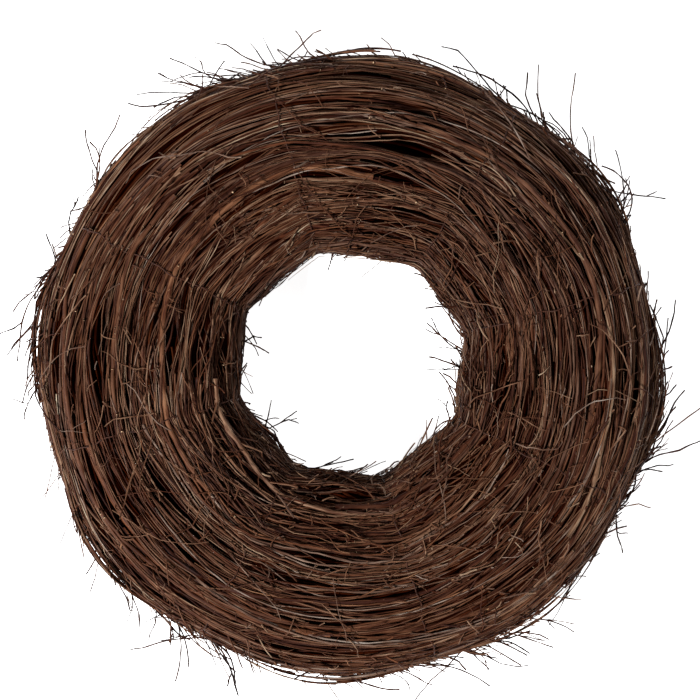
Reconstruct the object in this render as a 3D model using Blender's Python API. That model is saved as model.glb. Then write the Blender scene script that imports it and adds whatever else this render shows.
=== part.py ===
"""Wreath frame: handfuls of brushwood twigs bound round a steel hoop by eight wires.

The ring lies on its flat back. +Z runs up along the ring's axis, out of the front face,
and the origin is at the ring's centre on the surface that it lies on. Lengths are in
metres. Places on the ring are given by the angle round the axis and by the angle round
the ring's own cross-section, where 0 degrees is the rim, 90 the front, 180 the hole and
270 the back.
"""

from math import copysign, cos, radians, sin

import bmesh
import bpy
from mathutils import Vector

# Driving dimensions
HOLE_RADIUS = 0.0697
RIM_RADIUS = 0.2023
THICKNESS = 0.090

# Cross-section of the ring, a superellipse with a flattened back
SECTION_ROUNDNESS = 2.4
SECTION_RADIUS = (RIM_RADIUS + HOLE_RADIUS) / 2
SECTION_HALF_WIDTH = (RIM_RADIUS - HOLE_RADIUS) / 2
SECTION_HALF_HEIGHT = THICKNESS / 2
BACK_FULLNESS = 1.155
CORE_SHARE = 0.36
OUTLINE_STEP = 20

# Binding wires, which pinch the ring where they are tied
TIE_ANGLES = (15.0, 56.0, 106.0, 153.0, 197.0, 241.0, 286.0, 333.0)
PINCH = 0.072
TIED_SHARE = 0.04
PINCH_SHARE = 0.30
BAY_STATIONS = (0.04, 0.14, 0.38, 0.62, 0.86, 0.96)
WIRE_RADIUS = 0.0006
TWIST_HALF_WIDTH = 0.0011
TWIST_START, TWIST_END = 338.0, 312.0
TWIST_STEPS = 9
TWIST_OFFSET = 0.0021
TWIST_TURN = 75

# Clearances between neighbours
GAP = 0.0006
WIRE_CLEARANCE = 0.0004

# Height of the section's centre, with the bundles' backs on the ground
CENTRE_HEIGHT = SECTION_HALF_HEIGHT - GAP / 2

# Hoop, and the groove that it lies in
HOOP_RADIUS = 0.0018
GROOVE_RADIUS = HOOP_RADIUS + 0.0006
GROOVE_STEP = 45

# Bundles: the sector of the section that each course fills, and its first tie
HANDFUL_BAYS = 2
COURSE_SPAN = 60
CORNER_CUT = 0.004
COURSES = {
    "rim": (330, 0),
    "front_outer": (30, 1),
    "front_inner": (90, 0),
    "hole": (150, 1),
    "back_inner": (210, 0),
    "back_outer": (270, 1),
}

# Loose twigs
TWIG_BUTT_RADIUS = 0.0014
TWIG_TIP_SHARE = 0.35
TWIG_POINTS = 7
TWIG_CLEARANCE = 0.0006
SHOOT_STEPS = 4
SHOOT_SHARE = 0.55
RIM_TWIG_COUNT = 12
RIM_TWIG_SPAN = 24
RIM_TWIG_LIFT = 0.0157
RIM_TWIG_SHORT_LIFT = 0.010
RIM_TWIG_SIDE = 16
HOLE_TWIG_ANGLES = (86, 2, 255, 184)
HOLE_TWIG_SPAN = 17
HOLE_TWIG_LIFT = 0.012
HOLE_TWIG_START, HOLE_TWIG_DRIFT = 172, 6
FACE_TWIG_ANGLES = (38, 128, 219, 309)
FACE_TWIG_SPAN = 26
FACE_TWIG_LIFT = 0.012
FACE_TWIG_START, FACE_TWIG_DRIFT = 62, 42

# Colours, linear
BARK = {
    "rim": (0.062, 0.029, 0.017),
    "front_outer": (0.054, 0.025, 0.015),
    "front_inner": (0.046, 0.021, 0.013),
    "hole": (0.036, 0.017, 0.010),
    "back_inner": (0.045, 0.022, 0.014),
    "back_outer": (0.052, 0.025, 0.016),
    "core": (0.040, 0.020, 0.013),
    "loose": (0.075, 0.033, 0.022),
}
WIRE_COLOUR = (0.030, 0.017, 0.013)
HOOP_COLOUR = (0.180, 0.170, 0.160)


def clear_scene():
    for item in list(bpy.data.objects):
        bpy.data.objects.remove(item, do_unlink=True)


def make_collection(name):
    collection = bpy.data.collections.new(name)
    bpy.context.scene.collection.children.link(collection)
    return collection


def make_material(name, colour, roughness, metallic=0.0):
    material = bpy.data.materials.new(name)
    material.use_nodes = True
    shader = material.node_tree.nodes["Principled BSDF"]
    shader.inputs["Base Color"].default_value = (*colour, 1.0)
    shader.inputs["Roughness"].default_value = roughness
    shader.inputs["Metallic"].default_value = metallic
    return material


def add_part(name, mesh, material, collection):
    """Puts a finished mesh in the collection as one named piece."""
    mesh.name = name
    mesh.materials.clear()
    mesh.materials.append(material)
    part = bpy.data.objects.new(name, mesh)
    collection.objects.link(part)
    return part


# The section's outline, as (outward, up) from its centre


def outline_point(degrees, share=1.0):
    """A point of the section's outline, or of the same outline at a share of its size."""
    across, up = cos(radians(degrees)), sin(radians(degrees))
    power = 2 / SECTION_ROUNDNESS
    half_height = SECTION_HALF_HEIGHT * (BACK_FULLNESS if up < 0 else 1.0)
    x = SECTION_HALF_WIDTH * copysign(abs(across) ** power, across)
    y = half_height * copysign(abs(up) ** power, up)
    return Vector((x, max(y, -SECTION_HALF_HEIGHT))) * share


def outward_normal(degrees):
    """The direction square to the outline at this angle, away from the section."""
    along = outline_point(degrees + 1) - outline_point(degrees - 1)
    return Vector((along.y, -along.x)).normalized()


def moved_outline(points, distance):
    """The closed outline with every edge moved outwards by a distance, or inwards."""
    moved = []
    for index, corner in enumerate(points):
        before = (corner - points[index - 1]).normalized()
        after = (points[(index + 1) % len(points)] - corner).normalized()
        normal_before = Vector((before.y, -before.x))
        normal_after = Vector((after.y, -after.x))
        bisector = normal_before + normal_after
        moved.append(corner + bisector * (2 * distance / bisector.length_squared))
    return moved


def cut_corner(points, index, length):
    """The closed outline with one corner replaced by a straight cut."""
    corner = points[index]
    before = (points[index - 1] - corner).normalized()
    after = (points[(index + 1) % len(points)] - corner).normalized()
    cut = [corner + before * length, corner + after * length]
    return points[:index] + cut + points[index + 1 :]


def course_outline(start):
    """The sector that one course fills, from the core out to the section's outline."""
    angles = range(start, start + COURSE_SPAN + 1, OUTLINE_STEP)
    outer = [outline_point(angle % 360) for angle in angles]
    inner = [outline_point(angle % 360, CORE_SHARE) for angle in (angles[-1], angles[0])]
    points = moved_outline(outer + inner, -GAP / 2)
    points = cut_corner(points, len(outer) - 1, CORNER_CUT)
    return cut_corner(points, 0, CORNER_CUT)


def core_outline(side):
    """Half of the core, with a round groove for the hoop; side is 1 in front, -1 behind."""
    first = 30 if side > 0 else 210
    groove_start = 180 if side > 0 else 360
    outer = [outline_point(first + corner * COURSE_SPAN, CORE_SHARE) for corner in range(3)]
    split = Vector((0, side * GAP / 2))
    edges = [Vector((corner.x, split.y)) for corner in (outer[0], outer[-1])]
    groove = []
    for turn in range(0, 181, GROOVE_STEP):
        angle = radians(groove_start - turn)
        groove.append(Vector((cos(angle), sin(angle))) * GROOVE_RADIUS + split)
    return [edges[0], *outer, edges[1], *groove]


# The ring


def pinched_size(share):
    """The section's size at a share of the way from one tie to the next."""
    from_tie = min(share, 1 - share)
    t = min(max((from_tie - TIED_SHARE) / PINCH_SHARE, 0.0), 1.0)
    return 1 - PINCH * (1 - t * t * (3 - 2 * t))


def ring_stations():
    """Angle and section size at each station round the ring."""
    for index, start in enumerate(TIE_ANGLES):
        bay = (TIE_ANGLES[(index + 1) % len(TIE_ANGLES)] - start) % 360
        for share in BAY_STATIONS:
            yield start + share * bay, pinched_size(share)


def ring_point(degrees, across, up):
    """A world point from the ring angle and a place in the section there."""
    angle = radians(degrees)
    radius = SECTION_RADIUS + across
    return Vector((radius * cos(angle), radius * sin(angle), CENTRE_HEIGHT + up))


def lifted_point(degrees, section_degrees, lift):
    """A world point that stands clear of the unpinched ring by a height."""
    place = outline_point(section_degrees) + outward_normal(section_degrees) * lift
    return ring_point(degrees, place.x, place.y)


def poly_curve(name, points, cyclic, sizes=None):
    """A curve object of straight runs through the points, with a size at each."""
    curve = bpy.data.curves.new(name, "CURVE")
    curve.dimensions = "3D"
    curve.twist_mode = "Z_UP"
    curve.use_fill_caps = not cyclic
    spline = curve.splines.new("POLY")
    spline.points.add(len(points) - 1)
    spline.use_cyclic_u = cyclic
    for index, (item, point) in enumerate(zip(spline.points, points)):
        item.co = (*point, 1.0)
        item.radius = sizes[index] if sizes else 1.0
    result = bpy.data.objects.new(name, curve)
    bpy.context.scene.collection.objects.link(result)
    return result


def mesh_from_curve(curve_object):
    """The curve's mesh with its caps welded on; the curve is removed."""
    bpy.context.view_layer.update()
    evaluated = curve_object.evaluated_get(bpy.context.evaluated_depsgraph_get())
    mesh = bpy.data.meshes.new_from_object(evaluated)
    bpy.data.objects.remove(curve_object, do_unlink=True)
    body = bmesh.new()
    body.from_mesh(mesh)
    bmesh.ops.remove_doubles(body, verts=body.verts, dist=1e-6)
    bmesh.ops.recalc_face_normals(body, faces=body.faces)
    body.to_mesh(mesh)
    body.free()
    return mesh


def swept_mesh(path, outline):
    """A mesh made by sweeping a closed outline along a path curve."""
    profile = poly_curve("outline", [(p.x, p.y, 0.0) for p in outline], True)
    profile.data.dimensions = "2D"
    profile.data.fill_mode = "NONE"
    path.data.bevel_mode = "OBJECT"
    path.data.bevel_object = profile
    mesh = mesh_from_curve(path)
    bpy.data.objects.remove(profile, do_unlink=True)
    return mesh


def ring_mesh(outline):
    """A whole ring of this outline, pinched at the ties."""
    stations = list(ring_stations())
    points = [ring_point(angle, 0, 0) for angle, _ in stations]
    path = poly_curve("ring", points, True, [size for _, size in stations])
    return swept_mesh(path, outline)


def tube_mesh(points, radius, cyclic=False, sizes=None):
    """A round wire or twig through the points."""
    tube = poly_curve("tube", points, cyclic, sizes)
    tube.data.bevel_depth = radius
    tube.data.bevel_resolution = 1
    return mesh_from_curve(tube)


# Parts


def cut_handful(mesh, start, end):
    """The stretch of a ring between two angles, closed by flat ends."""
    body = bmesh.new()
    body.from_mesh(mesh)
    for angle, side in ((radians(start), 1), (radians(end), -1)):
        normal = Vector((-sin(angle), cos(angle), 0)) * side
        bmesh.ops.bisect_plane(
            body,
            geom=[*body.verts, *body.edges, *body.faces],
            plane_co=normal * GAP / 2,
            plane_no=normal,
            clear_inner=True,
        )
    open_edges = [edge for edge in body.edges if edge.is_boundary]
    bmesh.ops.holes_fill(body, edges=open_edges)
    bmesh.ops.recalc_face_normals(body, faces=body.faces)
    handful = bpy.data.meshes.new("handful")
    body.to_mesh(handful)
    body.free()
    return handful


def add_bundles(collection):
    """Six courses of handfuls, whose ends meet under every second wire."""
    for course, (start, first_tie) in COURSES.items():
        ring = ring_mesh(course_outline(start))
        material = make_material(f"{course}_twigs", BARK[course], 0.85)
        for number in range(len(TIE_ANGLES) // HANDFUL_BAYS):
            tie = first_tie + number * HANDFUL_BAYS
            from_angle = TIE_ANGLES[tie]
            to_angle = TIE_ANGLES[(tie + HANDFUL_BAYS) % len(TIE_ANGLES)]
            handful = cut_handful(ring, from_angle, to_angle)
            add_part(f"{course}_bundle_{number + 1}", handful, material, collection)
        bpy.data.meshes.remove(ring)


def add_core(collection):
    """The first bundle, split front and back round the hoop."""
    material = make_material("core_twigs", BARK["core"], 0.9)
    for name, side in (("core_bundle_front", 1), ("core_bundle_back", -1)):
        add_part(name, ring_mesh(core_outline(side)), material, collection)


def add_hoop(collection):
    """The closed steel hoop in the middle of the core."""
    points = [ring_point(angle, 0, 0) for angle, _ in ring_stations()]
    material = make_material("hoop_steel", HOOP_COLOUR, 0.45, 1.0)
    add_part("hoop_wire", tube_mesh(points, HOOP_RADIUS, cyclic=True), material, collection)


def join_meshes(first, second):
    """One solid from two overlapping meshes."""
    pair = []
    for mesh in (first, second):
        item = bpy.data.objects.new("joined", mesh)
        bpy.context.scene.collection.objects.link(item)
        pair.append(item)
    union = pair[0].modifiers.new("union", "BOOLEAN")
    union.operation = "UNION"
    union.solver = "EXACT"
    union.object = pair[1]
    bpy.context.view_layer.update()
    evaluated = pair[0].evaluated_get(bpy.context.evaluated_depsgraph_get())
    result = bpy.data.meshes.new_from_object(evaluated)
    for item in pair:
        bpy.data.objects.remove(item, do_unlink=True)
    return result


def wire_outline():
    """The loop that a binding wire makes round the pinched section."""
    first = COURSES["rim"][0]
    angles = range(first, first + 360, OUTLINE_STEP)
    section = [outline_point(angle % 360) * pinched_size(0) for angle in angles]
    return moved_outline(section, WIRE_RADIUS + WIRE_CLEARANCE)


def wire_twist(tie):
    """The wire's two ends, twisted together and laid flat beside the loop."""
    sideways = Vector((-sin(radians(tie)), cos(radians(tie)), 0))
    clear = TWIST_HALF_WIDTH + WIRE_CLEARANCE
    points = []
    for step in range(TWIST_STEPS + 1):
        share = step / TWIST_STEPS
        section_degrees = TWIST_START + (TWIST_END - TWIST_START) * share
        place = outline_point(section_degrees) * pinched_size(0)
        place += outward_normal(section_degrees) * clear
        offset = TWIST_OFFSET * min(1.0, 3 * share)
        points.append(ring_point(tie, place.x, place.y) + sideways * offset)
    path = poly_curve("twist", points, False)
    for step, item in enumerate(path.data.splines[0].points):
        item.tilt = radians(TWIST_TURN * step)
    lobes = [
        Vector((TWIST_HALF_WIDTH * cos(radians(angle)), WIRE_RADIUS * sin(radians(angle))))
        for angle in range(0, 360, 60)
    ]
    return swept_mesh(path, lobes)


def add_binding_wires(collection):
    material = make_material("binding_steel", WIRE_COLOUR, 0.55, 1.0)
    loop = wire_outline()
    for number, tie in enumerate(TIE_ANGLES, start=1):
        points = [ring_point(tie, place.x, place.y) for place in loop]
        wire = join_meshes(tube_mesh(points, WIRE_RADIUS, cyclic=True), wire_twist(tie))
        add_part(f"binding_wire_{number}", wire, material, collection)


def twig_points(start, span, section_start, section_drift, lift):
    """A twig that follows the ring at first and lifts away from it to a height."""
    base = TWIG_BUTT_RADIUS + TWIG_CLEARANCE
    points = []
    for step in range(TWIG_POINTS):
        share = step / (TWIG_POINTS - 1)
        height = base + (lift - base) * share**2
        section_degrees = section_start + section_drift * share
        points.append(lifted_point(start + span * share, section_degrees, height))
    return points


def twig_mesh(points, butt=1.0):
    """A twig through the points, tapered from its butt to its tip."""
    last = len(points) - 1
    sizes = [butt + (TWIG_TIP_SHARE - butt) * step / last for step in range(last + 1)]
    return tube_mesh(points, TWIG_BUTT_RADIUS, sizes=sizes)


def forked_twig_mesh(points, shoot_tip):
    """A twig with one straight side shoot that leaves it partway along."""
    root = points[len(points) // 3]
    shoot = [root.lerp(shoot_tip, step / SHOOT_STEPS) for step in range(SHOOT_STEPS + 1)]
    return join_meshes(twig_mesh(points), twig_mesh(shoot, SHOOT_SHARE))


def add_rim_twigs(collection, material):
    """Loose tips round the rim, leaning one way and the other in turn."""
    for number in range(RIM_TWIG_COUNT):
        tip = number * 360 / RIM_TWIG_COUNT
        leans = 1 if number % 2 == 0 else -1
        longest = number % 3 == 0
        lift = RIM_TWIG_LIFT if longest else RIM_TWIG_SHORT_LIFT
        side = leans * RIM_TWIG_SIDE
        span = leans * RIM_TWIG_SPAN
        points = twig_points(tip - span, span, side, -side, lift)
        add_part(f"rim_twig_{number + 1}", twig_mesh(points), material, collection)


def add_hole_twigs(collection, material):
    """Short loose tips inside the hole."""
    for number, middle in enumerate(HOLE_TWIG_ANGLES, start=1):
        start = middle - HOLE_TWIG_SPAN / 2
        points = twig_points(
            start, HOLE_TWIG_SPAN, HOLE_TWIG_START, HOLE_TWIG_DRIFT, HOLE_TWIG_LIFT
        )
        add_part(f"hole_twig_{number}", twig_mesh(points), material, collection)


def add_face_twigs(collection, material):
    """Forked twigs that cross the front face at a slant."""
    for number, middle in enumerate(FACE_TWIG_ANGLES, start=1):
        start = middle - FACE_TWIG_SPAN / 2
        points = twig_points(
            start, FACE_TWIG_SPAN, FACE_TWIG_START, FACE_TWIG_DRIFT, FACE_TWIG_LIFT
        )
        shoot_tip = lifted_point(middle + FACE_TWIG_SPAN / 4, FACE_TWIG_START, FACE_TWIG_LIFT)
        twig = forked_twig_mesh(points, shoot_tip)
        add_part(f"forked_twig_{number}", twig, material, collection)


def build():
    clear_scene()
    wreath = make_collection("wreath_frame")
    add_hoop(wreath)
    add_core(wreath)
    add_bundles(wreath)
    add_binding_wires(wreath)
    bark = make_material("loose_twigs", BARK["loose"], 0.8)
    add_rim_twigs(wreath, bark)
    add_hole_twigs(wreath, bark)
    add_face_twigs(wreath, bark)


build()
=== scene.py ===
"""The looks of the brushwood wreath frame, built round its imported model.

Every twig is a tapered tube that follows the ring. A place on the ring is given by its
angle round the axis, by its distance along the section's outline, counted from the rim
over the front to the hole and along the back, and by its depth under that outline.
Lengths are in metres and angles in radians unless a name says otherwise.
"""

from collections import namedtuple
from math import atan2, cos, pi, radians, sin, tau

import bpy
import numpy as np
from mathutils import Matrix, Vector


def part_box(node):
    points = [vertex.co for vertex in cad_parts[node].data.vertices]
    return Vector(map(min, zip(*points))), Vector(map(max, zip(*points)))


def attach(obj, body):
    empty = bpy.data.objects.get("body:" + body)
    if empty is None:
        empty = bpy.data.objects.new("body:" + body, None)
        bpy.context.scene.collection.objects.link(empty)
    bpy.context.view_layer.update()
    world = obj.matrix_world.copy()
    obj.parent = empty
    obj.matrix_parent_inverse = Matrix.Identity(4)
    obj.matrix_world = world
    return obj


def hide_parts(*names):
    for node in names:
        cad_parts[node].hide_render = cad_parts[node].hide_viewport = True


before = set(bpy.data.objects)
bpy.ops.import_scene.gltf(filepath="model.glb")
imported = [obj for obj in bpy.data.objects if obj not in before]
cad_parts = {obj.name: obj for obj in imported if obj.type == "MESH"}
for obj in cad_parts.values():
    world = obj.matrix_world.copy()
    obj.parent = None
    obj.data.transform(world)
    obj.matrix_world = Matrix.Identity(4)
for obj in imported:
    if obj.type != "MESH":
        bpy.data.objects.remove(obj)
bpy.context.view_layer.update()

WIRES = [f"binding_wire_{number}" for number in range(1, 9)]

# The shape of the ring's section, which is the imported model's
SECTION_ROUNDNESS = 2.4
BACK_FULLNESS = 1.155
OUTLINE_SAMPLES = 720

# How the tied ring departs from a round one
HOLE_STRAIGHTNESS = 0.75
HOLE_SHIFT = 0.0008
HOLE_ROOM = 0.0013
RIM_SIZE = 0.972
RIM_WAIST = 0.003
WAIST_SHARPNESS = 4
SWELL = 0.0016
SWELL_TOWARDS = radians(215)

# Camera, light and floor
FRAME_WIDTH = 0.4484
CAMERA_ABOVE = 0.009
CAMERA_LENS = 100.0
SENSOR = 36.0
KEY_PLACE = (-1.10, -0.75, 1.45)
KEY_SIZE = 0.25
KEY_POWER = 76
FILL_PLACE = (1.0, 0.9, 1.1)
FILL_SIZE = 1.2
FILL_POWER = 15
FLOOR_DROP = 0.0005
FLOOR_GLOW = 0.95
SKY = 0.04


def node_radii(node):
    """Nearest and furthest distance of a CAD node from the ring's axis."""
    corners = np.array([vertex.co[:2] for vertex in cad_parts[node].data.vertices])
    distance = np.hypot(corners[:, 0], corners[:, 1])
    return distance.min(), distance.max()


def node_angle(node):
    """The angle round the ring of the middle of a CAD node's box."""
    low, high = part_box(node)
    middle = (low + high) / 2
    return atan2(middle.y, middle.x) % tau


# The ring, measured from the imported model
TIES = sorted(node_angle(node) for node in WIRES)
HOLE_RADIUS = node_radii("hole_bundle_1")[0]
RIM_RADIUS = node_radii("rim_bundle_1")[1]
TIED_HOLE = node_radii(WIRES[0])[0]
SECTION_RADIUS = (HOLE_RADIUS + RIM_RADIUS) / 2
HALF_WIDTH = (RIM_RADIUS - HOLE_RADIUS) / 2
HALF_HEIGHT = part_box("front_outer_bundle_1")[1].z / 2


# The section's outline by distance along it


def sampled_outline():
    turn = np.linspace(0, tau, OUTLINE_SAMPLES + 1)
    power = 2 / SECTION_ROUNDNESS
    height = np.where(np.sin(turn) < 0, HALF_HEIGHT * BACK_FULLNESS, HALF_HEIGHT)
    x = HALF_WIDTH * np.sign(np.cos(turn)) * np.abs(np.cos(turn)) ** power
    y = height * np.sign(np.sin(turn)) * np.abs(np.sin(turn)) ** power
    y = np.maximum(y, -HALF_HEIGHT)
    step = np.hypot(np.diff(x), np.diff(y))
    distance = np.concatenate([[0], np.cumsum(step)])
    return distance, x, y, turn


OUTLINE_DISTANCE, OUTLINE_X, OUTLINE_Y, OUTLINE_TURN = sampled_outline()
AROUND = OUTLINE_DISTANCE[-1]
NORMAL_REACH = 0.003


def outline_point(distance):
    place = np.mod(distance, AROUND)
    x = np.interp(place, OUTLINE_DISTANCE, OUTLINE_X)
    y = np.interp(place, OUTLINE_DISTANCE, OUTLINE_Y)
    return x, y


def outline(distance):
    """Across, up, and the outward normal, of the outline at these distances along it."""
    x, y = outline_point(distance)
    ahead_x, ahead_y = outline_point(distance + NORMAL_REACH)
    behind_x, behind_y = outline_point(distance - NORMAL_REACH)
    along_x = ahead_x - behind_x
    along_y = ahead_y - behind_y
    length = np.hypot(along_x, along_y) + 1e-12
    return x, y, along_y / length, -along_x / length


def distance_at(section_degrees):
    """Distance along the outline at an angle round the section."""
    return float(np.interp(radians(section_degrees) % tau, OUTLINE_TURN, OUTLINE_DISTANCE))


TIE_STOPS = np.array([TIES[-1] - tau, *TIES, TIES[0] + tau])


def bay_share(angle):
    """How far each angle is from its last tie to its next, from 0 to 1, and the bay's width."""
    turned = np.mod(angle, tau)
    index = np.searchsorted(TIE_STOPS, turned, side="right") - 1
    index = np.clip(index, 0, len(TIE_STOPS) - 2)
    width = TIE_STOPS[index + 1] - TIE_STOPS[index]
    return (turned - TIE_STOPS[index]) / width, width


def ring_radii(angle):
    """Radius of the hole, whose sides run nearly straight between ties, and of the rim."""
    share, width = bay_share(angle)
    tied = TIED_HOLE + HOLE_ROOM
    straight = tied * np.cos(width / 2) / np.cos((share - 0.5) * width)
    hole = tied + HOLE_STRAIGHTNESS * (straight - tied) + HOLE_SHIFT * np.cos(angle)
    waist = np.abs(np.cos(pi * share)) ** WAIST_SHARPNESS
    rim = RIM_RADIUS * RIM_SIZE * (1 - RIM_WAIST * waist) + SWELL * np.cos(angle - SWELL_TOWARDS)
    return hole, rim


def ring_places(angle, distance, depth):
    """World points under, or with a negative depth over, the ring's surface."""
    x, y, normal_x, normal_y = outline(distance)
    hole, rim = ring_radii(angle)
    across = hole + (rim - hole) * (0.5 + 0.5 * x / HALF_WIDTH) - normal_x * depth
    up = HALF_HEIGHT + y * (rim - hole) / (2 * HALF_WIDTH) - normal_y * depth
    return np.stack([across * np.cos(angle), across * np.sin(angle), up], axis=-1)


def surface_directions(angle, distance):
    """Round the ring, out of the surface, and along the outline, at places on the ring."""
    _, _, normal_x, normal_y = outline(distance)
    flat = np.zeros_like(angle)
    outward = np.stack([np.cos(angle), np.sin(angle), flat], axis=-1)
    round_ring = np.stack([-np.sin(angle), np.cos(angle), flat], axis=-1)
    up = np.array([0.0, 0.0, 1.0])
    normal = outward * normal_x[..., None] + up * normal_y[..., None]
    along = outward * -normal_y[..., None] + up * normal_x[..., None]
    return round_ring, normal, along


def unit(vectors):
    return vectors / (np.linalg.norm(vectors, axis=-1, keepdims=True) + 1e-12)


def out_of_ring(points):
    """Directions from the ring's middle line to these points."""
    level = points * np.array([1.0, 1.0, 0.0])
    middle = unit(level) * SECTION_RADIUS + np.array([0.0, 0.0, HALF_HEIGHT])
    return unit(points - middle)


def surface_waves(rng, across, along, count):
    """A smooth random pattern over the ring, about -1 to 1, of waves round its section."""
    crossing = rng.integers(across[0], across[1] + 1, count) * tau / AROUND
    running = rng.integers(-along, along + 1, count)
    phase = rng.uniform(0, tau, count)

    def pattern(angle, distance):
        total = 0
        for k, n, p in zip(crossing, running, phase):
            total = total + np.cos(k * distance + n * angle + p)
        return total / (count / 2) ** 0.5

    return pattern


# Tubes

BARK_SLOT, CUT_SLOT, DEEP_SLOT = range(3)


# A tube whose path comes nearer to upright than this takes its sides from another direction
STEEPEST = 0.93
UPRIGHT = np.array([0.0, 0.0, 1.0])
SIDEWAYS = np.array([0.31, 0.95, 0.0])


class Batch:
    """Gathers tubes and makes one mesh of them."""

    def __init__(self):
        self.corners, self.loops, self.sizes, self.slots, self.smooth = [], [], [], [], []
        self.tints, self.grains = [], []
        self.count = 0

    def add(self, corners, faces, slots, smooth, tint, grain):
        """Corners (n, 3), blocks of faces (m, k) by corner number, and each corner's looks."""
        self.corners.append(corners)
        self.tints.append(tint)
        self.grains.append(grain)
        for block, slot, shaded in zip(faces, slots, smooth):
            self.loops.append((block + self.count).ravel())
            self.sizes.append(np.full(len(block), block.shape[1]))
            self.slots.append(np.full(len(block), slot))
            self.smooth.append(np.full(len(block), shaded))
        self.count += len(corners)

    def mesh(self, name, materials):
        corners = np.concatenate(self.corners).astype(np.float32)
        loops = np.concatenate(self.loops).astype(np.int32)
        sizes = np.concatenate(self.sizes).astype(np.int32)
        starts = np.concatenate([[0], np.cumsum(sizes)[:-1]]).astype(np.int32)
        mesh = bpy.data.meshes.new(name)
        mesh.vertices.add(len(corners))
        mesh.vertices.foreach_set("co", corners.ravel())
        mesh.loops.add(len(loops))
        mesh.loops.foreach_set("vertex_index", loops)
        mesh.polygons.add(len(sizes))
        mesh.polygons.foreach_set("loop_start", starts)
        mesh.polygons.foreach_set("loop_total", sizes)
        mesh.polygons.foreach_set("material_index", np.concatenate(self.slots).astype(np.int32))
        mesh.polygons.foreach_set("use_smooth", np.concatenate(self.smooth))
        tint = mesh.attributes.new("tint", "FLOAT_COLOR", "POINT")
        colours = np.concatenate(self.tints)
        colours = np.concatenate([colours, np.ones((len(colours), 1))], axis=1)
        tint.data.foreach_set("color", colours.astype(np.float32).ravel())
        grain = mesh.attributes.new("grain", "FLOAT_VECTOR", "POINT")
        grain.data.foreach_set("vector", np.concatenate(self.grains).astype(np.float32).ravel())
        for material in materials:
            mesh.materials.append(material)
        mesh.update(calc_edges=True)
        mesh.validate()
        return mesh

    def piece(self, name, slot, materials, *nodes):
        """Makes the gathered tubes one piece that stands for these CAD nodes."""
        piece = bpy.data.objects.new(name, self.mesh(name, materials))
        bpy.context.scene.collection.objects.link(piece)
        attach(piece, "root")
        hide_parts(*nodes)


def add_tubes(
    batch, rng, paths, radii, tints, sides, cut_start=None, cut_end=None, closed=False, slot=0
):
    """Adds a tube along each path (n, steps, 3); where an end is cut, its pale wood shows."""
    count, steps, _ = paths.shape
    if closed:
        forward = unit(np.roll(paths, -1, axis=1) - np.roll(paths, 1, axis=1))
    else:
        forward = unit(np.gradient(paths, axis=1))
    steep = np.abs(forward[..., 2]).max(axis=1) > STEEPEST
    up = np.where(steep[:, None, None], SIDEWAYS, np.broadcast_to(UPRIGHT, forward.shape))
    side = unit(np.cross(up, forward))
    over = np.cross(forward, side)
    turn = np.arange(sides) * tau / sides + rng.uniform(0, tau, (count, 1))
    ring = (
        side[:, :, None] * np.cos(turn)[:, None, :, None]
        + over[:, :, None] * np.sin(turn)[:, None, :, None]
    )
    corners = paths[:, :, None] + ring * radii[:, :, None, None]
    step_length = np.linalg.norm(np.diff(paths, axis=1), axis=-1)
    along = np.concatenate([np.zeros((count, 1)), np.cumsum(step_length, axis=1)], axis=1)
    along = along + rng.uniform(0, 5, (count, 1))
    grain = np.empty((count, steps, sides, 3))
    grain[..., 0] = along[:, :, None]
    grain[..., 1] = radii[:, :, None] * np.cos(turn)[:, None, :]
    grain[..., 2] = radii[:, :, None] * np.sin(turn)[:, None, :]
    tint = np.broadcast_to(tints[:, None, None, :], corners.shape)
    row = np.arange(steps if closed else steps - 1)[:, None] * sides
    column = np.arange(sides)[None, :]
    after = (row + sides) % (steps * sides)
    beside = (column + 1) % sides
    quads = np.stack([row + beside, after + beside, after + column, row + column], axis=-1)
    first = np.arange(count)[:, None, None] * steps * sides
    faces = [(quads.reshape(-1, 4)[None] + first).reshape(-1, 4)]
    slots, smooth = [slot], [True]
    if not closed:
        near = np.arange(sides)[None, None, :]
        far = near[:, :, ::-1] + (steps - 1) * sides
        for ends, cut in ((near, cut_start), (far, cut_end)):
            block = (ends + first).reshape(-1, sides)
            shown = np.zeros(count, bool) if cut is None else cut
            for wanted, end_slot in ((True, CUT_SLOT), (False, slot)):
                if (shown == wanted).any():
                    faces.append(block[shown == wanted])
                    slots.append(end_slot)
                    smooth.append(False)
    batch.add(
        corners.reshape(-1, 3), faces, slots, smooth, tint.reshape(-1, 3), grain.reshape(-1, 3)
    )


# Materials


def new_material(name):
    material = bpy.data.materials.new(name)
    material.use_nodes = True
    return material, material.node_tree.nodes, material.node_tree.links


def add_noise(nodes, links, vector, scale, detail):
    noise = nodes.new("ShaderNodeTexNoise")
    noise.inputs["Scale"].default_value = scale
    noise.inputs["Detail"].default_value = detail
    links.new(vector, noise.inputs["Vector"])
    return noise.outputs["Fac"]


def add_stretch(nodes, links, vector, along, across):
    """The grain's coordinates, scaled along the twig and across it."""
    stretch = nodes.new("ShaderNodeMapping")
    stretch.inputs["Scale"].default_value = (along, across, across)
    links.new(vector, stretch.inputs["Vector"])
    return stretch.outputs["Vector"]


def add_ramp(nodes, links, value, low, high, dark, light):
    """A colour that goes from dark to light as a value goes from low to high."""
    ramp = nodes.new("ShaderNodeValToRGB")
    ramp.color_ramp.elements[0].position = low
    ramp.color_ramp.elements[0].color = (*dark, 1)
    ramp.color_ramp.elements[1].position = high
    ramp.color_ramp.elements[1].color = (*light, 1)
    links.new(value, ramp.inputs["Fac"])
    return ramp.outputs["Color"]


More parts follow.
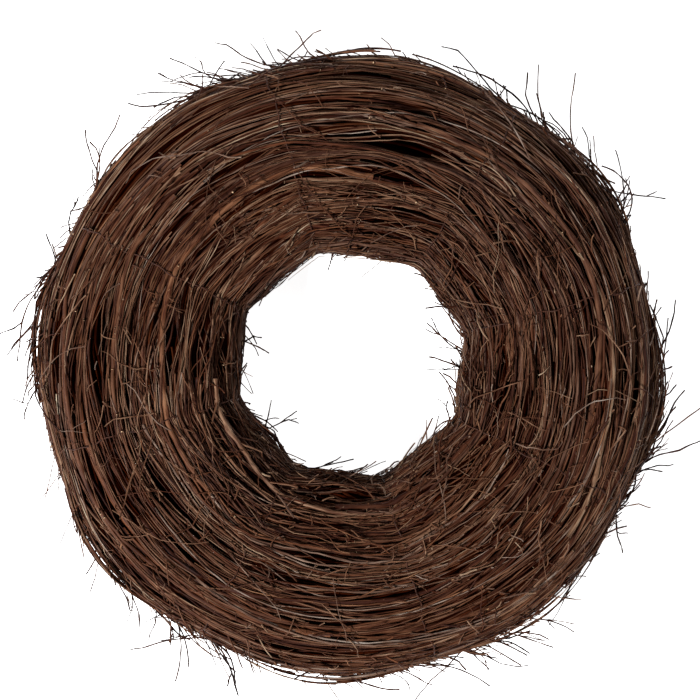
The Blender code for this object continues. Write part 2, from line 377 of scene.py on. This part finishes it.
def add_mix(nodes, links, kind, share, first, second):
    mix = nodes.new("ShaderNodeMix")
    mix.data_type = "RGBA"
    mix.blend_type = kind
    mix.inputs["Factor"].default_value = 1.0
    if share is not None:
        links.new(share, mix.inputs["Factor"])
    links.new(first, mix.inputs["A"])
    links.new(second, mix.inputs["B"])
    return mix.outputs["Result"]


def bark_material(name, roughness, gloss):
    """Bark: each twig's tint, which holds its painted shade, streaked along it, patchy, and here
    and there peeled; the light streaks are greyer, partly the bark's own streaks and partly a
    painted highlight.
    """
    material, nodes, links = new_material(name)
    shader = nodes["Principled BSDF"]
    shader.inputs["Roughness"].default_value = roughness
    shader.inputs["Specular IOR Level"].default_value = gloss
    tint = nodes.new("ShaderNodeAttribute")
    tint.attribute_name = "tint"
    attribute = nodes.new("ShaderNodeAttribute")
    attribute.attribute_name = "grain"
    grain = attribute.outputs["Vector"]
    streaks = add_noise(nodes, links, add_stretch(nodes, links, grain, 60, 900), 1.0, 4.0)
    patches = add_noise(nodes, links, grain, 55.0, 3.0)
    peeling = add_noise(nodes, links, add_stretch(nodes, links, grain, 210, 420), 1.0, 2.0)
    # The streaks' light end is greyer and brighter than the bark: partly the bark's own streaks,
    # partly a painted highlight
    streaks_and_painted_highlight = add_ramp(
        nodes, links, streaks, 0.34, 0.68, (0.36, 0.22, 0.17), (1.58, 1.82, 2.05)
    )
    patched = add_ramp(
        nodes, links, patches, 0.35, 0.65, (0.68, 0.54, 0.47), (1.16, 1.21, 1.26)
    )
    peeled = add_ramp(nodes, links, peeling, 0.755, 0.79, (0, 0, 0), (1, 1, 1))
    wood = add_ramp(
        nodes, links, streaks, 0.30, 0.70, (0.17, 0.085, 0.042), (0.36, 0.21, 0.11)
    )
    bark = add_mix(nodes, links, "MULTIPLY", None, tint.outputs["Color"], streaks_and_painted_highlight)
    bark = add_mix(nodes, links, "MULTIPLY", None, bark, patched)
    bark = add_mix(nodes, links, "MIX", peeled, bark, wood)
    links.new(bark, shader.inputs["Base Color"])
    bump = nodes.new("ShaderNodeBump")
    bump.inputs["Strength"].default_value = 0.8
    bump.inputs["Distance"].default_value = 0.0004
    links.new(streaks, bump.inputs["Height"])
    links.new(bump.outputs["Normal"], shader.inputs["Normal"])
    return material


def cut_wood_material():
    """Pale wood where a twig was cut."""
    material, nodes, links = new_material("cut_wood")
    shader = nodes["Principled BSDF"]
    shader.inputs["Roughness"].default_value = 0.8
    attribute = nodes.new("ShaderNodeAttribute")
    attribute.attribute_name = "grain"
    grain = add_noise(nodes, links, attribute.outputs["Vector"], 1500, 2.0)
    wood = add_ramp(nodes, links, grain, 0.3, 0.7, (0.24, 0.14, 0.07), (0.50, 0.34, 0.20))
    links.new(wood, shader.inputs["Base Color"])
    return material


def wire_material(name, dark, light, roughness, metallic, gloss):
    """Drawn wire with patches of wear."""
    material, nodes, links = new_material(name)
    shader = nodes["Principled BSDF"]
    shader.inputs["Metallic"].default_value = metallic
    shader.inputs["Specular IOR Level"].default_value = gloss
    place = nodes.new("ShaderNodeTexCoord").outputs["Object"]
    wear = add_noise(nodes, links, place, 400, 4.0)
    colour = add_ramp(nodes, links, wear, 0.35, 0.70, dark, light)
    links.new(colour, shader.inputs["Base Color"])
    shine = nodes.new("ShaderNodeMapRange")
    shine.inputs["To Min"].default_value = roughness - 0.12
    shine.inputs["To Max"].default_value = roughness + 0.15
    links.new(wear, shine.inputs["Value"])
    links.new(shine.outputs["Result"], shader.inputs["Roughness"])
    return material


BARK = bark_material("bark", 0.58, 0.09)
DEEP_BARK = bark_material("deep_bark", 0.9, 0.0)
CUT_WOOD = cut_wood_material()
WIRE = wire_material("binding_wire", (0.016, 0.005, 0.003), (0.060, 0.020, 0.010), 0.6, 0.0, 0.15)
HOOP = wire_material("hoop_steel", (0.10, 0.09, 0.08), (0.30, 0.28, 0.26), 0.45, 1.0, 0.5)

TWIG_LOOKS = [BARK, CUT_WOOD, DEEP_BARK]

# Twig colours, linear, with how common each is
TINTS = np.array(
    [
        (0.065, 0.023, 0.0097),
        (0.082, 0.033, 0.0153),
        (0.043, 0.013, 0.0050),
        (0.085, 0.042, 0.0245),
        (0.113, 0.054, 0.0265),
        (0.070, 0.022, 0.0082),
    ]
)
TINT_SHARE = np.array([0.22, 0.23, 0.16, 0.18, 0.12, 0.09])

# Darker twigs are redder, and so is the painted shade that darkens them: powers of the brightness
# for red, green and blue
REDDENING = np.array([1.0, 1.5, 1.8])
TINT_RANGE = (0.40, 1.68)


def twig_tints(rng, count, brightness=1.0):
    chosen = TINTS[rng.choice(len(TINTS), count, p=TINT_SHARE)]
    return chosen * (rng.uniform(*TINT_RANGE, (count, 1)) * brightness) ** REDDENING


# Bundles: each course covers 60 degrees of the section, in handfuls two bays long

Course = namedtuple("Course", "start_degrees first_tie coarseness tint")
# A course's last number, its tint, darkens its twigs: painted shade, most in the hole and a little
# on the front's inner side
COURSES = {
    "rim": Course(330, 0, 1.0, 1.0),
    "front_outer": Course(30, 1, 1.15, 1.0),
    "front_inner": Course(90, 0, 1.0, 0.95),
    "hole": Course(150, 1, 0.8, 0.76),
    "back_inner": Course(210, 0, 1.0, 1.0),
    "back_outer": Course(270, 1, 1.1, 1.0),
}
COURSE_SPAN = 60
HANDFUL_BAYS = 2
HANDFULS = len(TIES) // HANDFUL_BAYS
OVERLAP = radians(26)

# The layers of a handful, from the inside out: the radii of its twigs, the depths at which
# they lie, how much of the surface they cover, how many make a lock, that is, lie together,
# how far a lock drifts across the course, how finely the twigs are built, and their painted
# shade, which makes the deeper layers darker and the top one lighter
Layer = namedtuple("Layer", "thin thick shallow deep cover lock drift sides steps tint")
DEEP_LAYERS = (
    Layer(0.0012, 0.0020, 0.0078, 0.0096, 1.30, 3, 0.004, 5, 30, 0.10),
    Layer(0.0008, 0.0015, 0.0050, 0.0078, 1.30, 4, 0.006, 5, 34, 0.25),
    Layer(0.0006, 0.0012, 0.0024, 0.0052, 1.40, 4, 0.010, 5, 36, 0.40),
)
OUTER_LAYERS = (
    Layer(0.0013, 0.0022, 0.0000, 0.0026, 0.28, 1, 0.014, 8, 52, 1.0),
    Layer(0.00045, 0.00095, 0.0002, 0.0032, 0.82, 5, 0.018, 6, 52, 1.0),
    Layer(0.0003, 0.0006, -0.0006, 0.0016, 0.72, 4, 0.024, 5, 52, 1.15),
)

# How far a lock spreads, sways and heaves, and how the twigs in it turn and stray
LOCK_SPREAD = 0.6
LOCK_SWAY = 0.0022
LOCK_HEAVE = 0.0007
LOCK_TURNING = 1.6
OWN_DRIFT = 0.4
WANDER = 0.00027
HEIGHT_SPREAD = 0.35

# Between ties the twigs part and heap up, and at a tie they're pulled in a little
PARTING_SIZE = 0.0012
HEAPING_SIZE = 0.0015
TIED_DEPTH = 0.75

BUTT_FIRST = 0.8
BUNDLE_TIPS = (0.35, 0.65)
ABOVE_FLOOR = 0.0002
LOWEST_PATH = 0.0009

# Painted shade: the twigs that lie deeper are painted darker, the shallowest a little lighter
PAINTED_SHADE_DEPTH = 0.0050
LIGHTEST = 1.15
DARKEST = 0.3

shared_rng = np.random.default_rng(11)
PARTING = surface_waves(shared_rng, (9, 24), 2, 12)
HEAPING = surface_waves(shared_rng, (10, 26), 4, 10)


def course_stretch(course, handful):
    """The stretch of outline that a course covers, and the angles where a handful is tied."""
    low = distance_at(course.start_degrees)
    high = distance_at(course.start_degrees + COURSE_SPAN)
    high += AROUND * (high < low)
    first = (course.first_tie + handful * HANDFUL_BAYS) % len(TIES)
    begin = TIES[first]
    reach = (TIES[(first + HANDFUL_BAYS) % len(TIES)] - begin) % tau
    return low, high, begin, reach


KNOBBLES = 0.13


def tapered(rng, start, end, steps):
    """Radii from one end to the other, slightly knobbly."""
    share = np.linspace(0, 1, steps)[None, :]
    radii = start[:, None] + (end - start)[:, None] * share
    return radii * (1 + KNOBBLES * rng.standard_normal(radii.shape))


def lay_twigs(batch, rng, course, handful, layer, slot):
    """Lays one layer of a handful, in locks whose twigs turn slowly about each other."""
    low, high, begin, reach = course_stretch(course, handful)
    thin = layer.thin * course.coarseness
    thick = layer.thick * course.coarseness
    count = max(4, int(layer.cover * (high - low) / (thin + thick)))
    locks = max(2, round(count / layer.lock))
    lock = np.arange(count) % locks
    share = np.linspace(0, 1, layer.steps)[None, :]

    def each(values):
        return values[lock][:, None]

    middle = low + (high - low) * (np.arange(locks) + rng.uniform(0, 1, locks)) / locks
    drift = rng.normal(0, layer.drift, locks)
    sway = rng.normal(0, LOCK_SWAY, locks)
    swing = each(rng.uniform(0.6, 2.2, locks)) * share + each(rng.uniform(0, 1, locks))
    heave = each(rng.uniform(1.2, 3.2, locks)) * share + each(rng.uniform(0, 1, locks))
    spread = LOCK_SPREAD * (high - low) / locks * np.sqrt(rng.uniform(0, 1, (count, 1)))
    turning = rng.uniform(0, tau, (count, 1)) + rng.normal(0, LOCK_TURNING, (count, 1)) * share
    own_drift = rng.normal(0, OWN_DRIFT * layer.drift, (count, 1)) * (share - 0.5)
    depth = each(rng.uniform(layer.shallow, layer.deep, locks))

    before, beyond = rng.uniform(0, OVERLAP, (2, count))
    angle = (begin - before)[:, None] + (reach + before + beyond)[:, None] * share
    bay, _ = bay_share(angle)
    loose = np.sin(pi * bay) ** 2
    place = each(middle) + each(drift) * (share - 0.5) + own_drift
    place = place + each(sway) * np.sin(tau * swing) + spread * np.cos(turning)
    place = place + PARTING_SIZE * loose * PARTING(angle, place)
    place = place + WANDER * np.cumsum(rng.standard_normal(angle.shape), axis=1)
    under = depth * (TIED_DEPTH + (1 - TIED_DEPTH) * loose)
    under = under + HEIGHT_SPREAD * spread * np.sin(turning)
    heaped = HEAPING_SIZE * HEAPING(angle, place) + LOCK_HEAVE * np.sin(tau * heave)
    under = under + loose * heaped

    butt = rng.uniform(thin, thick, count)
    tip = butt * rng.uniform(*BUNDLE_TIPS, count)
    grows_on = rng.random(count) < BUTT_FIRST
    radii = tapered(rng, np.where(grows_on, butt, tip), np.where(grows_on, tip, butt), layer.steps)
    paths = ring_places(angle, place, under + butt[:, None])
    paths[..., 2] = np.maximum(paths[..., 2], radii + ABOVE_FLOOR)
    # Painted shade by depth, times the layer's and the course's painted shade
    shade = np.clip(LIGHTEST - depth / PAINTED_SHADE_DEPTH, DARKEST, LIGHTEST)
    tints = twig_tints(rng, count, layer.tint * course.tint * shade)
    add_tubes(batch, rng, paths, radii, tints, layer.sides, grows_on, ~grows_on, slot=slot)
    return paths, radii


def free_paths(rng, start, direction, length, steps, wobble, bend):
    """Paths (n, steps, 3) of twigs that grow freely from a start, with a kink now and then."""
    count = len(start)
    stride = length / (steps - 1)
    heading = unit(direction)
    points = [start]
    for step in range(1, steps):
        kink = wobble if step % 3 == 0 else wobble * 0.25
        heading = unit(heading + kink * rng.standard_normal((count, 3)) + bend / steps)
        points.append(points[-1] + heading * stride[:, None])
    paths = np.stack(points, axis=1)
    paths[..., 2] = np.maximum(paths[..., 2], LOWEST_PATH)
    return paths


# Side shoots: how wide they open, in degrees, their radius at the base, and their tips
OPENING = (18, 60)
SHOOT_SHARE = (0.5, 0.9)
SHOOT_RADII = (0.00038, 0.0007)
SHOOT_TIPS = (0.75, 1.0)
SHOOT_KINK = 0.2
FORWARD_PULL = 0.4


def add_shoots(batch, rng, paths, radii, count, reach, steps, tint, cut_share=0.0):
    """Side shoots that leave twigs at narrow angles, towards their tips and out of the ring."""
    twig = rng.integers(0, len(paths), count)
    at = rng.integers(1, paths.shape[1] - 2, count)
    start = paths[twig, at]
    forward = unit(paths[twig, at + 1] - start)
    aside = unit(np.cross(forward, rng.standard_normal((count, 3))))
    buried = np.sum(aside * out_of_ring(start), axis=-1, keepdims=True) < 0
    aside = np.where(buried, -aside, aside)
    opening = np.radians(rng.uniform(*OPENING, count))[:, None]
    direction = forward * np.cos(opening) + aside * np.sin(opening)
    length = reach[0] + (reach[1] - reach[0]) * rng.random(count) ** 2
    butt = np.clip(radii[twig, at] * rng.uniform(*SHOOT_SHARE, count), *SHOOT_RADII)
    bend = forward * FORWARD_PULL
    shoots = free_paths(rng, start, direction, length, steps, SHOOT_KINK, bend)
    thinning = tapered(rng, butt, butt * rng.uniform(*SHOOT_TIPS, count), steps)
    cut = rng.random(count) < cut_share
    add_tubes(batch, rng, shoots, thinning, twig_tints(rng, count, tint), 4, None, cut)
    return shoots, thinning


WILDEST = radians(300)
WILDNESS_SWING = 0.5


def wildness_at(angle):
    """How untidy the ring is: the most at the lower right, the least opposite."""
    return 1 + WILDNESS_SWING * cos(angle - WILDEST)


BUNDLE_SEED = 1000
STUBS = 34
STUB_LENGTHS = (0.002, 0.008)
SHOOTS = 8
SHOOT_LENGTHS = (0.010, 0.035)


def bundle_piece(name, course, handful, seed):
    """The twigs of one handful, with the stubs and shoots on the outer ones."""
    rng = np.random.default_rng(seed)
    batch = Batch()
    for layer in DEEP_LAYERS:
        lay_twigs(batch, rng, course, handful, layer, DEEP_SLOT)
    wildness = wildness_at(node_angle(name))
    for layer in OUTER_LAYERS:
        paths, radii = lay_twigs(batch, rng, course, handful, layer, BARK_SLOT)
        stubs, shoots = int(STUBS * wildness), int(SHOOTS * wildness)
        add_shoots(batch, rng, paths, radii, stubs, STUB_LENGTHS, 4, 1.15, 0.5)
        add_shoots(batch, rng, paths, radii, shoots, SHOOT_LENGTHS, 8, 1.1)
    batch.piece(f"{name}_twigs", name.rsplit("_bundle", 1)[0] + "_twigs", TWIG_LOOKS, name)


CORE_DEPTH = 0.0118
CORE_RIDGES = 90
CORE_RIDGE_HEIGHT = 0.0008
# Near-black colour of the core sheet: painted shade deep among the twigs
CORE_PAINTED_SHADE = np.array([0.008, 0.003, 0.0015])


def core_piece():
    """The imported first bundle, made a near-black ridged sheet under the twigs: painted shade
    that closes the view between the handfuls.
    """
    across, along = 180, 192
    ring_angle = np.linspace(0, tau, along, endpoint=False)
    distance = np.linspace(0, AROUND, across, endpoint=False)
    angle, place = np.meshgrid(ring_angle, distance, indexing="ij")
    depth = CORE_DEPTH + CORE_RIDGE_HEIGHT * np.cos(place * tau / AROUND * CORE_RIDGES)
    corners = ring_places(angle, place, depth)
    row = np.arange(along)[:, None] * across
    column = np.arange(across)[None, :]
    after = (row + across) % (along * across)
    beside = (column + 1) % across
    quads = np.stack([row + column, after + column, after + beside, row + beside], axis=-1)
    tint = np.broadcast_to(CORE_PAINTED_SHADE, (along * across, 3))
    grain = np.stack([angle * SECTION_RADIUS, place, depth], axis=-1).reshape(-1, 3)
    batch = Batch()
    batch.add(corners.reshape(-1, 3), [quads.reshape(-1, 4)], [0], [True], tint, grain)
    batch.piece("core_twigs", "core_twigs", [DEEP_BARK], "core_bundle_front", "core_bundle_back")


# Binding wires

WIRE_THICKNESS = 0.0009
WIRE_TINT = np.array([[0.03, 0.02, 0.015]])
WIRE_STEPS = 260
WIRE_SIDES = 6
WIRE_SEED = 500

# A wire's depth among the twigs, and the waves that sink it and sway it sideways: the size
# of each wave, and how many of it go round
SUNK = 0.0001
SINKING = ((0.0009, 7), (0.0006, 17), (0.0003, 41))
SWAYING = ((0.0009, 9), (0.0004, 23))

# Where the twisted ends lie on the section, in degrees, and beside the turn
TWIST_START = 338
TWIST_END = 312
TWIST_TURNS = 7
TWIST_ASIDE = 0.0021
TWIST_OVER = 0.0004


def waves_round(round_share, waves, phases):
    """The sum of waves that go round the section."""
    total = 0
    for (size, number), phase in zip(waves, phases):
        total = total + size * np.sin(round_share * number + phase)
    return total


def wire_piece(number):
    """One turn of binding wire, sunk here and there among its twigs, with its twisted ends."""
    name = f"binding_wire_{number}"
    rng = np.random.default_rng(WIRE_SEED + number)
    batch = Batch()
    tie = node_angle(name)
    distance = np.linspace(0, AROUND, WIRE_STEPS, endpoint=False)
    round_share = distance / AROUND * tau
    phases = rng.uniform(0, tau, len(SINKING) + len(SWAYING))
    sink = SUNK + waves_round(round_share, SINKING, phases)
    sway = waves_round(round_share, SWAYING, phases[len(SINKING):])
    path = ring_places(tie + sway / SECTION_RADIUS, distance, sink)
    path[:, 2] = np.maximum(path[:, 2], WIRE_THICKNESS / 2 + 0.0001)
    radii = np.full((1, WIRE_STEPS), WIRE_THICKNESS / 2)
    add_tubes(batch, rng, path[None], radii, WIRE_TINT, WIRE_SIDES, closed=True)
    steps = 12 * TWIST_TURNS
    distance = np.linspace(distance_at(TWIST_START), distance_at(TWIST_END), steps)
    turn = np.linspace(0, tau * TWIST_TURNS, steps)
    for half in (0, pi):
        aside = TWIST_ASIDE + 0.5 * WIRE_THICKNESS * np.cos(turn + half)
        over = 0.5 * WIRE_THICKNESS * np.sin(turn + half) - TWIST_OVER
        strand = ring_places(tie + aside / RIM_RADIUS, distance, over)
        radii = np.full((1, steps), WIRE_THICKNESS / 2)
        add_tubes(batch, rng, strand[None], radii, WIRE_TINT, WIRE_SIDES)
    batch.piece(f"{name}_turn", "binding_steel", [WIRE], name)


# Loose twigs

# Tufts of tips along a stretch: how many, their tips in all, how far they reach round the
# ring in degrees and across it, how steeply they lift, and the tips' lengths and thickness
Tufts = namedtuple("Tufts", "number tips degrees across steepness lengths thickness")
RIM_TUFTS = Tufts(12, 25, 16, 0.010, 19, (0.012, 0.080), (0.0009, 0.0013))
HOLE_TUFTS = Tufts(14, 16, 32, 0.012, 30, (0.008, 0.036), (0.0009, 0.0012))
TIPS_ON = 0.8
TIP_SHADE = 0.42
FURTHEST_TIP = 0.232
HIGHEST_TIP = 0.109

# How the tips of one tuft differ: in place, and in lift and slant, in degrees
TUFT_ROUND = radians(1.3)
TUFT_ACROSS = 0.003
LIFT_SPREAD = 6
SLANT = 16
SLANT_SPREAD = 7
TIP_STEPS = 14
TIP_KINK = 0.17
TIP_ROOT = 0.0005

# Thin twigs that lie across the others: how many on a quarter, the longest, how far they
# turn from the ring's direction in degrees, and how often they fork
Crossing = namedtuple("Crossing", "count longest spread forks")
CROSSINGS = (Crossing(36, 0.070, 20, 2), Crossing(22, 0.050, 80, 2), Crossing(60, 0.014, 60, 1))
CROSSING_RADII = (0.00028, 0.00052)
CROSSING_STEPS = 14
CROSSING_KINK = 0.28
CROSSING_SHADE = 1.2
FORKED = 0.6
FACE_REACH = radians(46)
FACE_EDGES = (8, 172)

# Twigs that bow out from the rim: how many on a stretch, and by how much, least and more
BOWED = 14
BOWED_RADII = (0.0004, 0.0008)
BOW = (0.0004, 0.0075)

RIM_STRETCHES = 12
RIM_SEED = 3000
QUARTERS = 4
HOLE_SEED = 4000
FACE_SEED = 5000


def creep(rng, angle, distance, heading, length, steps, kink):
    """Angles, distances and headings of twigs that wander over the ring's surface."""
    rows = [(angle, distance, heading)]
    stride = length / (steps - 1)
    for step in range(1, steps):
        turn = kink if step % 4 == 0 else kink * 0.2
        heading = heading + rng.normal(0, turn, len(angle))
        across, _ = outline_point(distance)
        angle = angle + stride * np.cos(heading) / (SECTION_RADIUS + across)
        distance = distance + stride * np.sin(heading)
        rows.append((angle, distance, heading))
    return (np.stack(column, axis=1) for column in zip(*rows))


def add_crossing(batch, rng, angle, distance, heading, length, butt, forks):
    """Thin twigs that lie across the others, some forked, and kinked at their joints."""
    count, steps = len(angle), CROSSING_STEPS
    angles, places, headings = creep(
        rng, angle, distance, heading, length, steps, CROSSING_KINK
    )
    share = np.linspace(0, 1, steps)[None, :]
    arch = rng.uniform(0.0002, 0.0022, (count, 1))
    over = 0.0006 + arch * np.sin(pi * share) + 0.04 * length[:, None] * share**3
    paths = ring_places(angles, places, -over)
    radii = tapered(rng, butt, butt * rng.uniform(0.4, 0.7, count), steps)
    cut = rng.random(count) < 0.3
    add_tubes(batch, rng, paths, radii, twig_tints(rng, count, CROSSING_SHADE), 5, cut)
    if forks:
        chosen = np.flatnonzero(rng.random(count) < FORKED)
        at = rng.integers(3, 10, len(chosen))
        side = rng.choice([-1, 1], len(chosen)) * np.radians(rng.uniform(25, 55, len(chosen)))
        add_crossing(
            batch,
            rng,
            angles[chosen, at],
            places[chosen, at],
            headings[chosen, at] + side,
            length[chosen] * rng.uniform(0.2, 0.6, len(chosen)),
            np.maximum(radii[chosen, at] * 0.75, 0.0002),
            forks - 1,
        )


def add_tufts(batch, rng, angle, distance, tufts):
    """Tufts of tips that leave the surface together, each tuft at its own lift and slant."""
    number, count = tufts.number, tufts.tips
    tuft = rng.integers(0, number, count)
    reach = radians(tufts.degrees)
    angle = angle + rng.uniform(-reach, reach, number)[tuft]
    angle = angle + rng.normal(0, TUFT_ROUND, count)
    distance = distance + rng.normal(0, tufts.across, number)[tuft]
    distance = distance + rng.normal(0, TUFT_ACROSS, count)
    lift_degrees = np.abs(rng.normal(0, tufts.steepness, number))[tuft]
    lift_degrees = lift_degrees + rng.normal(0, LIFT_SPREAD, count)
    slant_degrees = rng.normal(0, SLANT, number)[tuft] + rng.normal(0, SLANT_SPREAD, count)
    onward = (rng.random(number) < TIPS_ON)[tuft]
    shortest, longest = tufts.lengths
    length = shortest + (longest - shortest) * rng.random(count) ** 1.3
    butt = rng.uniform(*tufts.thickness, count) / 2
    root = ring_places(angle, distance, TIP_ROOT)
    round_ring, normal, along = surface_directions(angle, distance)
    sense = np.where(onward, 1, -1)[:, None]
    lift = np.radians(lift_degrees)[:, None]
    slant = np.radians(slant_degrees)[:, None]
    level = round_ring * sense * np.cos(slant) + along * np.sin(slant)
    direction = level * np.cos(lift) + normal * np.sin(lift)
    bend = normal * rng.normal(-0.3, 0.7, (count, 1)) + along * rng.normal(0, 0.6, (count, 1))
    paths = free_paths(rng, root, direction, length, TIP_STEPS, TIP_KINK, bend)
    within = np.hypot(paths[..., 0], paths[..., 1]).max(axis=1) < FURTHEST_TIP
    within &= paths[..., 2].max(axis=1) < HIGHEST_TIP
    paths, butt = paths[within], butt[within]
    count = len(paths)
    radii = tapered(rng, butt, butt * rng.uniform(0.7, 0.95, count), TIP_STEPS)
    add_tubes(batch, rng, paths, radii, twig_tints(rng, count, TIP_SHADE), 5)
    forks = count // 2
    shoots, finer = add_shoots(batch, rng, paths, radii, forks, (0.004, 0.024), 8, TIP_SHADE)
    add_shoots(batch, rng, shoots, finer, forks // 3, (0.002, 0.010), 5, TIP_SHADE)


def add_bowed(batch, rng, middle, count):
    """Twigs that lie on the rim and bow out from it between the ties."""
    steps = 26
    share = np.linspace(-0.5, 0.5, steps)[None, :]
    angle = middle + rng.normal(0, radians(8), (count, 1))
    angle = angle + rng.uniform(0.4, 0.9, (count, 1)) * share
    place = rng.normal(0.002, 0.008, (count, 1)) + rng.normal(0, 0.02, (count, 1)) * share
    bay, _ = bay_share(angle)
    bow = (BOW[0] + BOW[1] * rng.random((count, 1)) ** 1.6) * np.sin(pi * bay) ** 2
    paths = ring_places(angle, place, -0.0002 - bow)
    butt = rng.uniform(*BOWED_RADII, count)
    radii = tapered(rng, butt, butt * rng.uniform(0.5, 0.8, count), steps)
    add_tubes(batch, rng, paths, radii, twig_tints(rng, count, 1.0), 5, rng.random(count) < 0.5)
    add_shoots(batch, rng, paths, radii, 5 * count, (0.001, 0.008), 5, 0.9)
    add_shoots(batch, rng, paths, radii, count, (0.008, 0.030), 9, 0.9)


def rim_piece(number):
    """Loose twigs and tips along one stretch of the rim."""
    name = f"rim_twig_{number}"
    rng = np.random.default_rng(RIM_SEED + number)
    batch = Batch()
    middle = node_angle(name)
    add_bowed(batch, rng, middle, BOWED)
    add_tufts(batch, rng, middle, 0.0, RIM_TUFTS)
    batch.piece(f"{name}_tips", "loose_twigs", TWIG_LOOKS[:2], name)


def hole_piece(number):
    """Short loose tips inside the hole."""
    name = f"hole_twig_{number}"
    rng = np.random.default_rng(HOLE_SEED + number)
    batch = Batch()
    add_tufts(batch, rng, node_angle(name), distance_at(180), HOLE_TUFTS)
    batch.piece(f"{name}_tips", "loose_twigs", TWIG_LOOKS[:2], name)


def face_piece(number):
    """Twigs that lie across the others on a quarter of the front face."""
    name = f"forked_twig_{number}"
    rng = np.random.default_rng(FACE_SEED + number)
    batch = Batch()
    middle = node_angle(name)
    wildness = wildness_at(middle)
    for crossing in CROSSINGS:
        count = int(crossing.count * wildness)
        angle = middle + rng.uniform(-FACE_REACH, FACE_REACH, count)
        distance = rng.uniform(distance_at(FACE_EDGES[0]), distance_at(FACE_EDGES[1]), count)
        heading = np.radians(rng.normal(0, crossing.spread, count))
        length = crossing.longest * rng.uniform(0.25, 1.0, count)
        butt = rng.uniform(*CROSSING_RADII, count)
        add_crossing(batch, rng, angle, distance, heading, length, butt, crossing.forks)
    batch.piece(f"{name}_cover", "loose_twigs", TWIG_LOOKS[:2], name)


for course_number, (course_name, course) in enumerate(COURSES.items()):
    for handful in range(HANDFULS):
        seed = BUNDLE_SEED + 10 * course_number + handful
        bundle_piece(f"{course_name}_bundle_{handful + 1}", course, handful, seed)
core_piece()
for number in range(1, len(WIRES) + 1):
    wire_piece(number)
for number in range(1, RIM_STRETCHES + 1):
    rim_piece(number)
for number in range(1, QUARTERS + 1):
    hole_piece(number)
    face_piece(number)
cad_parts["hoop_wire"].material_slots[0].material = HOOP


# Stage


def make_floor():
    """A plain pale floor that curves up into a low wall, far behind the object."""
    middle, reach, curve, wall, around = 1.0, 4.3, 0.5, 0.6, 96
    bend = np.radians(np.linspace(0, 90, 10))
    radius = np.concatenate([[middle], reach + curve * np.sin(bend), [reach + curve]])
    height = np.concatenate([[0.0], curve * (1 - np.cos(bend)), [curve + wall]]) - FLOOR_DROP
    turn = np.arange(around) * tau / around
    corners = [(0.0, 0.0, -FLOOR_DROP)]
    for r, z in zip(radius, height):
        corners += [(r * cos(t), r * sin(t), z) for t in turn]
    faces = [(0, 1 + k, 1 + (k + 1) % around) for k in range(around)]
    for ring in range(len(radius) - 1):
        inner = 1 + ring * around
        outer = inner + around
        for k in range(around):
            beside = (k + 1) % around
            faces.append((inner + k, outer + k, outer + beside, inner + beside))
    mesh = bpy.data.meshes.new("floor")
    mesh.from_pydata(corners, [], faces)
    mesh.shade_smooth()
    material, nodes, links = new_material("floor")
    shader = nodes["Principled BSDF"]
    shader.inputs["Base Color"].default_value = (0.93, 0.93, 0.93, 1)
    shader.inputs["Roughness"].default_value = 0.9
    shader.inputs["Emission Color"].default_value = (1, 1, 1, 1)
    shader.inputs["Emission Strength"].default_value = FLOOR_GLOW
    mesh.materials.append(material)
    floor = bpy.data.objects.new("floor", mesh)
    bpy.context.scene.collection.objects.link(floor)


def add_softbox(name, place, size, power):
    lamp = bpy.data.lights.new(name, "AREA")
    lamp.shape = "DISK"
    lamp.size = size
    lamp.energy = power
    box = bpy.data.objects.new(name, lamp)
    box.location = place
    box.rotation_euler = (-Vector(place)).to_track_quat("-Z", "Y").to_euler()
    bpy.context.scene.collection.objects.link(box)


def make_camera():
    camera = bpy.data.cameras.new("camera")
    camera.lens = CAMERA_LENS
    camera.sensor_width = SENSOR
    eye = bpy.data.objects.new("camera", camera)
    distance = FRAME_WIDTH * CAMERA_LENS / SENSOR
    eye.location = (0, CAMERA_ABOVE, HALF_HEIGHT + distance)
    bpy.context.scene.collection.objects.link(eye)
    bpy.context.scene.camera = eye


make_floor()
add_softbox("key", KEY_PLACE, KEY_SIZE, KEY_POWER)
add_softbox("fill", FILL_PLACE, FILL_SIZE, FILL_POWER)
world = bpy.data.worlds.new("studio")
world.use_nodes = True
world.node_tree.nodes["Background"].inputs["Color"].default_value = (1, 1, 1, 1)
world.node_tree.nodes["Background"].inputs["Strength"].default_value = SKY
bpy.context.scene.world = world
bpy.context.scene.view_settings.view_transform = "Standard"
make_camera()
